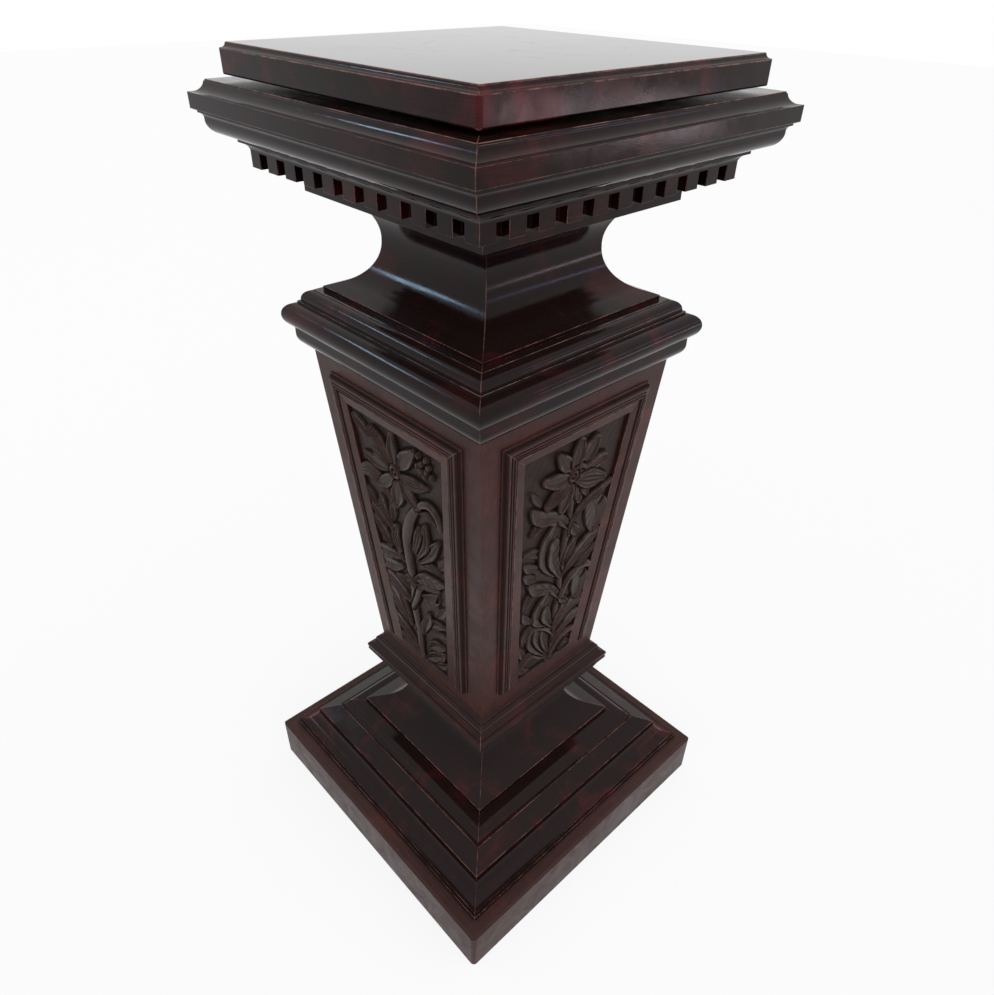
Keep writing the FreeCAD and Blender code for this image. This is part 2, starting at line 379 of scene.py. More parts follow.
    def _bump(self, add: Adder, place: Socket, pores: Node) -> Node:
        """Adds the ripple of the film and the open pores under it.

        Args:
            add: Adds a node to the material.
            place: The object coordinates.
            pores: The noise of the pores.

        Returns:
            The last bump node.
        """
        swell = add("TexNoise", None, {
            "Vector": place, "Scale": texture_scale(self.swell_mm), "Detail": 3.0,
            "Roughness": 0.55})
        film = add("Bump", None, {
            "Strength": 0.5, "Distance": self.ripple_mm * MM, "Height": swell})
        return add("Bump", None, {
            "Strength": 0.3, "Distance": 0.05 * MM, "Height": pores, "Normal": film})


@dataclass(frozen=True)
class CarvedMahogany:
    """Mahogany carved with gouges, stained near black and waxed.

    It is satin: brown-grey on the leaves; paler and smoother on the ridges, partly rubbed by a
    cloth and partly a painted highlight; black in the hollows with painted shade, and dull there
    with old wax.
    """

    name: str = "carved_mahogany"
    # painted shade: the colour that the hollows and the low ground darken to
    hollow: str = "#0b0605"
    body: str = "#33211d"
    # the ridge colour is partly rubbed wear and partly a painted highlight
    ridge: str = "#5e483f"
    gouge_mm: float = 5.5
    mottle_mm: float = 14.2857
    fibre_mm: tuple = (1.25, 1.25, 20.0)
    # dull old wax reflects little of the white room
    wax_gleam: float = 0.12

    def build(self) -> Material:
        """Builds the material.

        Returns:
            The finished material.
        """
        material, add = bare_material(self.name)
        place = add("TexCoord").outputs["Object"]
        depth = add("Attribute", {"attribute_name": "depth"})
        worn_and_lit_ridge = add("Attribute", {"attribute_name": "ridge"})
        # painted shade: hollows and low ground darken towards black, and they also go dull
        sunk = add("MapRange", SMOOTH, [depth.outputs["Fac"], 0.05, 0.75])
        mottle = add("TexNoise", None, {
            "Vector": place, "Scale": texture_scale(self.mottle_mm), "Detail": 6.0,
            "Roughness": 0.68})
        drawn = add("Mapping", None, {
            "Vector": place, "Scale": tuple(map(texture_scale, self.fibre_mm))})
        fibre = add("TexNoise", None, {
            "Vector": drawn, "Scale": 1.0, "Detail": 3.0, "Roughness": 0.6})
        shown = add("MapRange", SMOOTH, [mottle, 0.35, 0.65, 0.25, 1.0])
        # paler ridges: partly rubbed wear and partly a painted highlight
        rubbed = add("Math", MULTIPLY_KEPT, [worn_and_lit_ridge.outputs["Fac"], shown])
        worn_and_highlighted = add("Mix", COLOURS, {
            0: rubbed, 6: linear_colour(self.body), 7: linear_colour(self.ridge)})
        hollow_shaded = add("Mix", COLOURS, {0: sunk, 6: worn_and_highlighted.outputs[2], 7: linear_colour(self.hollow)})
        tone = add("MapRange", None, [fibre, 0.3, 0.7, 0.80, 1.20])
        cloud = add("MapRange", None, [mottle, 0.3, 0.7, 0.66, 1.34])
        toned = add("Math", MULTIPLY, [tone, cloud])
        colour = add("VectorMath", SCALE, {0: hollow_shaded.outputs[2], "Scale": toned})
        waxed = add("MapRange", None, [rubbed, 0.0, 0.6, 0.33, 0.19])
        rough = add("Math", ADD_SHARE, [sunk, 0.4, waxed])
        gouge = add("TexVoronoi", {"feature": "SMOOTH_F1"}, {
            "Vector": place, "Scale": texture_scale(self.gouge_mm)})
        cut = add("Bump", None, {
            "Strength": 0.4, "Distance": 0.22 * MM, "Height": gouge.outputs["Distance"]})
        raised = add("Bump", None, {
            "Strength": 0.35, "Distance": 0.10 * MM, "Height": fibre, "Normal": cut})
        shader = add("BsdfPrincipled", None, {"Base Color": colour, "Roughness": rough, "IOR": 1.48,
            "Specular IOR Level": self.wax_gleam, "Normal": raised})
        add("OutputMaterial", None, {0: shader})
        return material


@dataclass(frozen=True)
class AgedPine:
    """Unpolished pine, sawn and gone brown: yellow-brown early wood with darker late-wood lines."""

    name: str = "secondary_pine"
    early: str = "#a98256"
    late: str = "#6d4826"
    ring_mm: tuple = (111.111, 6.66667, 6.66667)

    def build(self) -> Material:
        """Builds the material.

        Returns:
            The finished material.
        """
        material, add = bare_material(self.name)
        place = add("TexCoord").outputs["Object"]
        drawn = add("Mapping", None, {
            "Vector": place, "Scale": tuple(map(texture_scale, self.ring_mm))})
        rings = add("TexNoise", None, {
            "Vector": drawn, "Scale": 1.0, "Detail": 4.0, "Distortion": 0.5})
        late = add("MapRange", SMOOTH, [rings, 0.42, 0.62])
        colour = add("Mix", COLOURS, {
            0: late, 6: linear_colour(self.early), 7: linear_colour(self.late)})
        sawn = add("Bump", None, {"Strength": 0.5, "Distance": 0.3 * MM, "Height": rings})
        shader = add("BsdfPrincipled", None, {
            "Base Color": colour.outputs[2], "Roughness": 0.72, "Normal": sawn})
        add("OutputMaterial", None, {0: shader})
        return material


@dataclass(frozen=True)
class TurnedSteel:
    """Turned mild steel with a thin brown oxide: grey metal, duller in the oxidised patches."""

    name: str = "swivel_steel"
    bright: str = "#8b8680"
    oxide: str = "#4a3a30"
    bloom_mm: float = 16.6667

    def build(self) -> Material:
        """Builds the material.

        Returns:
            The finished material.
        """
        material, add = bare_material(self.name)
        place = add("TexCoord").outputs["Object"]
        bloom = add("TexNoise", None, {
            "Vector": place, "Scale": texture_scale(self.bloom_mm), "Detail": 6.0,
            "Roughness": 0.7})
        rusted = add("MapRange", SMOOTH, [bloom, 0.45, 0.65])
        colour = add("Mix", COLOURS, {
            0: rusted, 6: linear_colour(self.bright), 7: linear_colour(self.oxide)})
        metal = add("MapRange", None, {"Value": rusted, "To Min": 1.0, "To Max": 0.35})
        rough = add("MapRange", None, {"Value": rusted, "To Min": 0.34, "To Max": 0.62})
        shader = add("BsdfPrincipled", None, {
            "Base Color": colour.outputs[2], "Metallic": metal, "Roughness": rough})
        add("OutputMaterial", None, {0: shader})
        return material


# ---- timber with eased arrises


@dataclass(frozen=True)
class EasedTimber:
    """A board or moulding whose sharp arrises have been eased by hand and rubbed by use."""

    node: str
    body: str
    material: Material
    ease_mm: float = 0.4
    sharp_degrees: float = 24.0
    quirk_mm: float = 3.0
    quirk_degrees: float = 24.0
    outward: tuple = (0.0, 0.0, 0.0)
    mitred: bool = True
    merge_mm: float = 0.004
    flat_degrees: float = 0.3
    smooth_degrees: float = 50.0
    ease_share: float = 0.45
    cap_slack: float = 0.01

    def build(self) -> Piece:
        """Makes the eased piece from a merged copy of the board's solid.

        Returns:
            The piece, riding on its body in place of the solid.
        """
        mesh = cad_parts[self.node].data.copy()
        mesh.materials.clear()
        mesh.materials.append(self.material)
        piece = bpy.data.objects.new("eased_" + self.node, mesh)
        bpy.context.scene.collection.objects.link(piece)
        pick(piece)
        bpy.ops.object.mode_set(mode="EDIT")
        bpy.ops.mesh.select_all(action="SELECT")
        bpy.ops.mesh.remove_doubles(threshold=self.merge_mm * MM)
        bpy.ops.mesh.customdata_custom_splitnormals_clear()
        bpy.ops.mesh.dissolve_limited(angle_limit=math.radians(self.flat_degrees))
        bpy.ops.object.mode_set(mode="OBJECT")
        mesh.materials.append(self.material)
        self._mark_arrises(mesh)
        self._mark_quirks(mesh)
        ease = piece.modifiers.new("ease", "BEVEL")
        ease.limit_method = "WEIGHT"
        ease.width = self.ease_mm * MM
        ease.segments = 2
        ease.material = 1
        ease.use_clamp_overlap = False
        bpy.ops.object.modifier_apply(modifier=ease.name)
        self._tag_wear_and_shade(mesh)
        mesh.polygons.foreach_set("material_index", [0] * len(mesh.polygons))
        mesh.materials.pop(index=1)
        bpy.ops.object.shade_smooth_by_angle(angle=math.radians(self.smooth_degrees))
        even = piece.modifiers.new("even", "WEIGHTED_NORMAL")
        even.keep_sharp = True
        bpy.ops.object.modifier_apply(modifier=even.name)
        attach(piece, self.body)
        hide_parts(self.node)
        return piece

    def _faces_of_edges(self, mesh: Mesh) -> dict:
        """Lists the two faces at each edge.

        Args:
            mesh: The mesh.

        Returns:
            For each edge's pair of vertices, its faces.
        """
        sides = {}
        for face in mesh.polygons:
            for key in face.edge_keys:
                sides.setdefault(key, []).append(face)
        return sides

    def _is_cap(self, face: Face) -> bool:
        """Says whether a face is a mitred end, which meets the next board."""
        x, y, z = face.normal
        return self.mitred and max(abs(z), abs(abs(x) - abs(y))) < self.cap_slack

    def _mark_arrises(self, mesh: Mesh) -> None:
        """Gives each sharp edge that shows its bevel weight, less beside a narrow face."""
        weights = mesh.attributes.new("bevel_weight_edge", "FLOAT", "EDGE")
        sides = self._faces_of_edges(mesh)
        limit = math.cos(math.radians(self.sharp_degrees))
        for edge in mesh.edges:
            faces = sides.get(edge.key, [])
            if len(faces) != 2 or self._is_cap(faces[0]) or self._is_cap(faces[1]):
                continue
            ends = [mesh.vertices[corner].co for corner in edge.vertices]
            if faces[0].normal.dot(faces[1].normal) < limit and max(end.z for end in ends) > MM:
                broad = min(face.area for face in faces) / (ends[0] - ends[1]).length
                share = self.ease_share * broad / (self.ease_mm * MM)
                weights.data[edge.index].value = min(1.0, share)

    def _mark_quirks(self, mesh: Mesh) -> None:
        """Marks narrow faces in quirks for old wax and painted shade, on a frame's steep side for
        painted shade.
        """
        grime = np.zeros(len(mesh.polygons))
        sides = self._faces_of_edges(mesh)
        limit = math.cos(math.radians(self.quirk_degrees))
        for face in mesh.polygons:
            spans = sorted((((mesh.vertices[a].co - mesh.vertices[b].co).length, (a, b))
                            for a, b in face.edge_keys), reverse=True)
            if face.area / spans[0][0] > self.quirk_mm * MM:
                continue
            # a frame's steep outer slope gets painted shade alone
            if 0.15 < face.normal.dot(Vector(self.outward)) < 0.88:
                grime[face.index] = 0.7
                continue
            # each concave long edge adds old wax and painted shade
            for _, ends in spans[:2]:
                for other in sides[ends]:
                    inward = face.normal.dot(other.center - face.center) > 0.0
                    steep = face.normal.dot(other.normal) < limit
                    if other.index != face.index and inward and steep:
                        grime[face.index] += 0.5
        keep_values(mesh, "grime", grime, "FACE")

    def _tag_wear_and_shade(self, mesh: Mesh) -> None:
        """Marks each eased arris as worn and each eased concave edge with old wax and painted
        shade.
        """
        wear = np.zeros(len(mesh.polygons))
        grime = np.zeros(len(mesh.polygons))
        mesh.attributes["grime"].data.foreach_get("value", grime)
        sides = self._faces_of_edges(mesh)
        for face in mesh.polygons:
            if not face.material_index:
                continue
            longest = max(face.edge_keys, key=lambda ends: (
                mesh.vertices[ends[0]].co - mesh.vertices[ends[1]].co).length)
            for other in sides[longest]:
                if other.index != face.index:
                    # convex bevel faces are worn; concave ones get old wax and painted shade
                    outward = face.normal.dot(other.center - face.center) < 0.0
                    wear[face.index], grime[face.index] = (1.0, 0.0) if outward else (0.0, 1.0)
        keep_values(mesh, "wear", wear, "FACE")
        keep_values(mesh, "grime", grime, "FACE")


# ---- carving


class Form(Enum):
    """How a stroke is shaped across its width, and how far its tip drops in millimetres."""

    STEM = ("stem", 0.3)
    LEAF = ("leaf", 0.8)
    PETAL = ("petal", 0.0)
    RIBBED = ("ribbed", 0.4)
    DOME = ("dome", 0.0)
    SUNK = ("sunk", 0.0)


STEM, LEAF, PETAL, RIBBED, DOME, SUNK = Form
BOSS_HALF_MM = 0.2


@dataclass(frozen=True)
class Stroke:
    """One carved leaf, petal, stem, boss or sunk place, in millimetres on the panel."""

    form: Form
    points: tuple
    widths: tuple
    rise: float = 0.0
    ribs: float = 3.0

    @property
    def spine(self) -> tuple:
        """Pairs u with v, and makes the one point of a boss a short upright line.

        Returns:
            The points of the spine.
        """
        pairs = tuple(zip(self.points[::2], self.points[1::2]))
        if len(pairs) > 1:
            return pairs
        u, v = self.points
        return (u, v - BOSS_HALF_MM), (u, v + BOSS_HALF_MM)


# a broad-petalled flower over a straight stem with three tiers of curling leaves: each row is the
# form, u and v of the points on its spine in turn, widths along it, rise and ribs, in millimetres
BROAD_FLOWER = tuple(Stroke(*row) for row in (
    (STEM, (3, 292, 5, 262, 5, 240, 3, 210, 5, 190, 5, 160, 10, 130, 7, 110, 7, 100, 8, 75, 12, 45,
     8, 20, 6, 6), (5, 5, 6, 5, 6, 5, 5, 5, 5, 5, 5, 5, 6), 4.6),
    # foot
    (LEAF, (-44, 45, -50, 58, -54, 70), (4, 6, 2), 4.6),
    (LEAF, (2, 16, -12, 26, -22, 38, -38, 42, -48, 32, -46, 18, -34, 12), (3, 5, 6, 7, 7, 5, 3),
     5.6),
    (SUNK, (-33, 27, -30, 24), (5, 4)),
    (LEAF, (-2, 22, -20, 45, -32, 65, -36, 84), (3, 7, 9, 5), 4.8),
    (LEAF, (0, 25, -14, 48, -24, 70, -26, 86), (3, 6, 7, 4), 5.2),
    (LEAF, (2, 28, -6, 48, -12, 68, -14, 78), (3, 6, 5, 3), 5),
    (LEAF, (12, 40, 28, 58, 42, 68, 60, 68), (3, 9, 12, 6), 5.4),
    (SUNK, (24, 61, 27, 70, 30, 79), (1, 2, 1.5)),
    (LEAF, (28, 84, 42, 90, 56, 92, 68, 86), (3, 8, 8, 2), 4.8),
    (STEM, (8, 10, 15, 26, 28, 38, 42, 41, 56, 34, 62, 20), (3, 5, 5.5, 5.5, 5, 3), 5.8),
    (LEAF, (30, 10, 40, 16, 48, 12), (3, 6, 3), 4.2),
    # lower tier
    (LEAF, (8, 60, -4, 78, -18, 92, -34, 98, -47, 92, -50, 78), (4, 6, 8, 8, 7, 3), 5.9),
    (LEAF, (10, 62, 25, 85, 42, 98, 64, 96), (3, 10, 13, 4), 5),
    (LEAF, (46, 104, 58, 108, 68, 120), (4, 8, 3), 4.6),
    (LEAF, (-38, 168, -50, 158, -56, 142), (6, 7, 3), 5),
    (LEAF, (6, 132, -6, 148, -22, 160, -38, 168, -52, 182), (4, 6, 8, 9, 3), 5.8),
    (LEAF, (2, 80, -12, 95, -26, 110, -24, 128, -16, 145), (3, 8, 12, 11, 4), 5.2),
    (LEAF, (2, 78, -6, 92, -12, 105, -14, 118), (3, 6, 9, 6), 6),
    (LEAF, (-40, 112, -50, 122, -56, 134), (3, 6, 2), 4.2),
    (LEAF, (38, 155, 46, 140, 48, 126, 44, 112), (7, 14, 15, 7), 5),
    (STEM, (12, 125, 16, 140, 24, 152, 38, 160, 54, 160, 66, 150), (5, 5.5, 6, 6, 6, 3), 6),
    (SUNK, (50, 138, 53, 144, 53, 150), (1.5, 3, 1.5)),
    (LEAF, (8, 72, 15, 88, 22, 104), (3, 9, 5), 5.8),
    (LEAF, (12, 122, 18, 116, 25, 110), (3, 6, 4), 5.6),
    # middle tier
    (LEAF, (-40, 204, -54, 212, -64, 222), (5, 7, 3), 4.6),
    (LEAF, (-44, 190, -54, 196, -62, 204), (4, 7, 3), 5),
    (LEAF, (-40, 228, -52, 236, -66, 240), (5, 6, 3), 4.8),
    (LEAF, (-38, 280, -50, 274, -60, 266), (6, 7, 2), 5),
    (LEAF, (3, 250, -8, 264, -25, 276, -42, 284, -55, 293, -62, 304), (4, 7, 9, 10, 8, 3), 5.8),
    (LEAF, (2, 170, -14, 190, -26, 212, -28, 238, -20, 262), (4, 9, 13, 13, 4), 5.2),
    (LEAF, (3, 168, -6, 185, -14, 205, -16, 232), (3, 6, 10, 8), 6.2),
    (SUNK, (-2, 200, -4, 212, -4, 224), (1, 2.2, 1)),
    (LEAF, (10, 170, 30, 188, 50, 203, 72, 212), (3, 11, 12, 3), 5.6),
    (LEAF, (34, 168, 50, 175, 66, 186), (3, 8, 3), 5.2),
    (LEAF, (40, 272, 52, 255, 57, 240, 56, 224), (8, 18, 19, 10), 5),
    (LEAF, (9, 236, 12, 252, 20, 265, 35, 274, 54, 280, 74, 286), (4, 6, 6.5, 7, 6, 4), 6.1),
    (SUNK, (58, 257, 62, 264, 62, 271), (1.5, 3, 1.5)),
    (LEAF, (6, 190, 14, 205, 21, 222), (3, 9, 5), 5.8),
    (LEAF, (14, 245, 18, 236, 23, 228), (3, 7, 4), 5.6),
    # flower
    (LEAF, (-50, 308, -58, 318, -66, 330), (3, 5, 2), 4.2),
    (PETAL, (8, 311, 12, 298, 15, 284), (3, 6, 8, 4), 6),
    (PETAL, (-3, 314, -8, 300, -12, 284), (4, 10, 11, 6), 6.2),
    (PETAL, (18, 305, 24, 296, 29, 287), (3, 6, 3), 5.2),
    (RIBBED, (-8, 316, -22, 309, -36, 300), (5, 10, 12, 7), 5.6, 4),
    (PETAL, (-10, 326, -26, 330, -46, 336), (5, 10, 11, 5), 5.8),
    (PETAL, (7, 335, 20, 349, 29, 362), (5, 12, 14, 8), 5.6),
    (PETAL, (-6, 340, -18, 350, -28, 363), (4, 9, 10, 4), 6.2),
    (PETAL, (0, 337, 2, 352, 4, 370), (5, 9, 11, 6), 6.2),
    (PETAL, (5, 328, 28, 328, 52, 329), (5, 8, 9, 4), 5.8),
    (RIBBED, (8, 317, 30, 309, 57, 299), (5, 12, 13, 5), 6.2, 4),
    (STEM, (-5, 332, 10, 336, 20, 331, 40, 337, 52, 335), (3, 3, 3, 3, 2), 6.4),
    (DOME, (0, 325), (8.5,), 6),
    (SUNK, (0, 325), (3.4,)),
    (DOME, (0, 325), (2.6,), 4.6),
))

# a narrow-petalled flower with berries over a heavier winding stem, in rows of the same kind
NARROW_FLOWER = tuple(Stroke(*row) for row in (
    (STEM, (34, 288, 25, 280, 12, 260, 6, 245, 0, 230, -3, 215, -3, 190, -2, 170, 0, 150, -2, 125,
     -6, 100, -3, 60, -4, 25, -4, 6), (4, 6, 8, 9, 9, 8, 8, 8, 8, 7, 7, 7, 6, 6), 5.2),
    # foot
    (LEAF, (-8, 8, -30, 12, -52, 18), (3, 7, 3), 4.8),
    (LEAF, (-12, 20, -32, 36, -50, 48, -62, 58), (3, 8, 10, 3), 5.6),
    (LEAF, (8, 10, 24, 24, 38, 36, 47, 48), (3, 9, 9, 3), 5.4),
    (LEAF, (18, 40, 32, 53, 48, 60), (3, 9, 4), 5),
    (LEAF, (30, 12, 40, 18, 50, 28), (3, 6, 3), 4.4),
    (LEAF, (-20, 60, -38, 78, -52, 95, -62, 110), (4, 12, 13, 4), 5.2),
    (RIBBED, (-12, 58, -26, 82, -32, 100, -32, 114), (4, 7, 8, 4), 6),
    (SUNK, (-12, 52, -14, 64, -17, 78), (1, 2.6, 1.2)),
    (SUNK, (-16, 82, -18, 94, -20, 104), (1.2, 3, 1.4)),
    (LEAF, (6, 76, 20, 87, 38, 98, 57, 106), (3, 8, 8, 3), 5.4),
    (LEAF, (24, 76, 40, 82, 56, 88), (3, 6, 3), 4.6),
    (LEAF, (8, 62, 14, 80, 22, 96, 24, 108), (3, 7, 7, 3), 5.8),
    # middle
    (STEM, (-8, 100, 2, 120, 10, 140, 20, 162), (4, 5, 5, 4), 5.6),
    (LEAF, (-16, 108, -32, 118, -50, 126, -64, 128), (4, 10, 10, 3), 5),
    (LEAF, (-22, 162, -40, 154, -58, 148, -68, 138), (4, 9, 9, 4), 5),
    (LEAF, (-18, 181, -38, 176, -58, 170, -78, 160), (3, 7, 9, 4), 5.8),
    (LEAF, (-10, 134, -22, 140, -36, 140), (3, 6, 3), 5.4),
    (LEAF, (22, 138, 32, 140, 42, 148, 46, 160), (5, 9, 9, 4), 5),
    (SUNK, (43, 143, 47, 149, 49, 156), (1.5, 2.6, 1.2)),
    (LEAF, (10, 150, 30, 162, 52, 168), (3, 7, 3), 5.6),
    (LEAF, (8, 160, 25, 172, 45, 178, 64, 186), (4, 9, 9, 3), 5.4),
    (LEAF, (44, 118, 52, 128, 60, 142), (3, 7, 3), 4.6),
    (LEAF, (-12, 150, -6, 152, 2, 148), (5, 7, 4), 6.2),
    # upper
    (LEAF, (-40, 190, -52, 208, -68, 222), (4, 9, 3), 5),
    (RIBBED, (-20, 192, -25, 210, -20, 230), (4, 8, 5), 5.8),
    (LEAF, (-46, 218, -56, 232, -72, 240), (4, 7, 3), 4.6),
    (SUNK, (-14, 205, -15, 215, -15, 225), (1, 2.4, 1.2)),
    (LEAF, (-30, 225, -42, 245, -43, 264), (4, 8, 4), 5.4),
    (LEAF, (-60, 246, -66, 256, -74, 264), (5, 7, 3), 5),
    (LEAF, (-24, 240, -22, 254, -20, 266), (3, 6, 3), 5.2),
    (SUNK, (-33, 243, -33, 254, -32, 266), (1.5, 3.6, 1.6)),
    (RIBBED, (18, 195, 38, 203, 58, 204), (4, 8, 3), 5),
    (RIBBED, (22, 200, 44, 226, 62, 252), (4, 10, 4), 5.4),
    (RIBBED, (18, 205, 34, 235, 40, 264), (4, 10, 4), 5.8),
    (RIBBED, (14, 212, 24, 240, 28, 256), (4, 7, 3), 6.2),
    (LEAF, (60, 212, 68, 222, 74, 236), (3, 7, 3), 4.6),
    (LEAF, (34, 280, 48, 286, 60, 278), (2, 4, 2), 4.6),
    (STEM, (30, 285, 40, 297, 54, 302, 66, 294, 71, 278), (3, 5, 5.5, 5.5, 3), 6),
    (RIBBED, (-20, 274, -38, 292, -58, 297, -78, 289), (4, 9, 10, 7), 6, 4),
    # flower and berries
    (LEAF, (-50, 351, -64, 360, -76, 367), (3, 8, 3), 5.2),
    (LEAF, (-46, 354, -47, 358, -48, 362), (2.5, 3.5, 2), 5),
    (PETAL, (-2, 308, -5, 290, -10, 270), (4, 11, 12, 4), 6),
    (PETAL, (-12, 312, -25, 298, -40, 287), (4, 8, 9, 3), 5.8),
    (PETAL, (6, 312, 16, 300, 28, 289), (4, 9, 10, 5), 5.8),
    (PETAL, (-16, 320, -40, 318, -65, 320), (4, 8, 8, 2), 5.6),
    (PETAL, (-14, 326, -28, 331, -44, 334), (3, 6, 6, 2), 5.8),
    (RIBBED, (-12, 330, -22, 343, -31, 353, -40, 362), (4, 9, 10, 5), 6.2, 4),
    (PETAL, (6, 333, 18, 348, 35, 366), (4, 10, 11, 4), 5.8),
    (PETAL, (-4, 332, -4, 350, -2, 373), (4, 8, 9, 3), 6.2),
    (RIBBED, (8, 318, 30, 320, 54, 326), (5, 9, 9, 2), 6, 4),
    (DOME, (-6, 320), (10,), 5.8),
    (SUNK, (-6, 320), (4.2,)),
    (DOME, (-6, 320), (3.2,), 4.8),
    (DOME, (44, 366), (4,), 5.6),
    (DOME, (48, 357), (4.3,), 5.6),
    (DOME, (56, 350), (4.4,), 5.6),
    (DOME, (52, 343), (4.2,), 5.6),
    (DOME, (41, 352), (4,), 5.6),
    (DOME, (60, 358), (4.2,), 5.6),
    (DOME, (64, 347), (4,), 5.6),
    (DOME, (46, 347), (3.8,), 5.6),
    (DOME, (57, 366), (4,), 5.6),
))


@dataclass
class CarvedPanel:
    """One sunk panel of a shaft face, with its carving in relief."""

    node: str
    turn_degrees: float
    strokes: tuple
    material: Material
    low_half_mm: float = 49.8
    top_half_mm: float = 84.5
    long_mm: float = 377.9
    ground_mm: float = 1.1
    lip_mm: float = 5.0
    lip_high_mm: float = 4.5
    edge_mm: float = 4.6
    foot_mm: tuple = (111.8, 322.0)
    taper: float = 0.0751
    columns: int = 204
    rows: int = 462
    soft_edge_mm: float = 0.9
    cut_deep_mm: float = 2.6
    facet_mm: float = 0.10
    rim_mm: float = 1.6
    hollow_reach: int = 6
    ridge_reach: int = 3
    level: np.ndarray = field(default=None, repr=False)

    def build(self) -> Piece:
        """Carves the panel and seats it on its face.

        Returns:
            The piece, riding on the stand in place of the plain panel.
        """
        bpy.ops.object.select_all(action="DESELECT")
        bpy.ops.mesh.primitive_grid_add(
            x_subdivisions=self.columns, y_subdivisions=self.rows, size=2.0, location=(0, 0, 0))
        piece = bpy.context.object
        piece.name = "carving_" + self.node.split("_")[-1]
        mesh = piece.data
        mesh.name = piece.name
        spots = read_points(mesh)
        v = (spots[:, 1] + 1.0) / 2.0 * self.long_mm
        u = spots[:, 0] * self._half_opening(v)
        self.level = self._ground(u, v)
        for stroke in self.strokes:
            self._carve(u, v, stroke)
        self._finish_edges(u, v)
        shade, ridge = self._cavity(len(np.unique(spots[:, 0].round(6))))
        self._close_back(piece)
        self._seat(mesh, u, v)
        grown = len(mesh.vertices) - len(shade)
        # the depth attribute carries painted shade; the ridge attribute carries a highlight, partly
        # painted and partly wear
        keep_values(mesh, "depth", np.concatenate([shade, np.zeros(grown)]), "POINT")
        keep_values(mesh, "ridge", np.concatenate([ridge, np.zeros(grown)]), "POINT")
        mesh.materials.append(self.material)
        bpy.ops.object.shade_smooth()
        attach(piece, STAND)
        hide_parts(self.node)
        return piece

    def _half_opening(self, v: np.ndarray) -> np.ndarray:
        """Works out half the width of the frame's opening at each height."""
        return self.low_half_mm + (self.top_half_mm - self.low_half_mm) * v / self.long_mm

    def _ground(self, u: np.ndarray, v: np.ndarray) -> np.ndarray:
        """Lays the sunk ground, a little uneven from the gouge, with its low lip along the foot.

        Args:
            u: Places across the panel.
            v: Places up the panel.

        Returns:
            The height of each point above the panel's back.
        """
        lip = np.clip((self.lip_high_mm + 0.6 - v) / 1.2, 0.0, 1.0) * (self.lip_mm - self.ground_mm)
        uneven = (0.16 * np.sin(u * 0.42 + 1.3 * np.sin(v * 0.11))
                  * np.sin(v * 0.31 + 0.9 * np.sin(u * 0.17)))
        return self.ground_mm + lip + uneven * (v > 6.0)

    @staticmethod
    def _spine(stroke: Stroke) -> tuple[np.ndarray, np.ndarray]:
        """Draws a smooth line through the spine's points, its half width along with it.

        Args:
            stroke: The stroke.

        Returns:
            Rows of u, v and half width, and the share of the line's length at each.
        """
        count = len(stroke.spine)
        widths = np.interp(
            np.linspace(0, 1, count), np.linspace(0, 1, len(stroke.widths)), stroke.widths)
        knots = np.column_stack([np.array(stroke.spine, float), widths])
        padded = np.vstack([2 * knots[0] - knots[1], knots, 2 * knots[-1] - knots[-2]])
        points = []
        for a, b, c, d in zip(padded, padded[1:], padded[2:], padded[3:]):
            for s in np.linspace(0.0, 1.0, 10, endpoint=False):
                points.append(0.5 * (2 * b + (c - a) * s + (2 * a - 5 * b + 4 * c - d) * s * s
                                     + (3 * b - a - 3 * c + d) * s ** 3))
        points.append(knots[-1])
        line = np.array(points)
        walked = np.concatenate([[0.0], np.cumsum(np.hypot(*np.diff(line[:, :2], axis=0).T))])
        return line, walked / walked[-1]

    def _carve(self, u: np.ndarray, v: np.ndarray, stroke: Stroke) -> None:
        """Lays one stroke over the carving so far.

        Args:
            u: Places across the panel.
            v: Places up the panel.
            stroke: The leaf, petal, stem, boss or hollow.
        """
        line, share = self._spine(stroke)
        reach = max(stroke.widths) * 1.2 + 4.0
        low, high = line.min(0) - reach, line.max(0) + reach
        near = np.flatnonzero((u > low[0]) & (u < high[0]) & (v > low[1]) & (v < high[1]))
        pu, pv = u[near], v[near]
        inside = np.full(len(near), -1e9)
        along, side, half = np.zeros(len(near)), np.zeros(len(near)), np.ones(len(near))
        for i in range(len(line) - 1):
            step = line[i + 1] - line[i]
            size = step[0] ** 2 + step[1] ** 2
            if size < 1e-9:
                continue
            reached = (pu - line[i, 0]) * step[0] + (pv - line[i, 1]) * step[1]
            s = np.clip(reached / size, 0.0, 1.0)
            du, dv = pu - line[i, 0] - s * step[0], pv - line[i, 1] - s * step[1]
            width = line[i, 2] + s * step[2]
            depth = width - np.hypot(du, dv)
            better = depth > inside
            inside[better] = depth[better]
            half[better] = width[better]
            along[better] = (share[i] + s * (share[i + 1] - share[i]))[better]
            side[better] = np.where(step[0] * dv - step[1] * du > 0, 1.0, -1.0)[better]
        cover = np.clip(inside / self.soft_edge_mm + 0.5, 0.0, 1.0)
        cover = cover * cover * (3.0 - 2.0 * cover)
        old = self.level[near]
        if stroke.form is SUNK:
            self.level[near] = old * (1.0 - cover) + np.minimum(old, self.ground_mm) * cover
            return
        # a stroke laid on others is set in by a V cut round it
        proud = np.clip((old - self.ground_mm - 1.0) / 3.0, 0.0, 1.0)
        cut = np.clip(1.0 - np.abs(inside + 1.1) / 1.4, 0.0, 1.0) * proud * self.cut_deep_mm
        from_spine = np.clip(1.0 - inside / np.maximum(half, 0.3), 0.0, 1.0)
        height = self._section(stroke, along, from_spine, side, inside)
        self.level[near] = np.maximum(old - cut, self.ground_mm) * (1.0 - cover) + height * cover

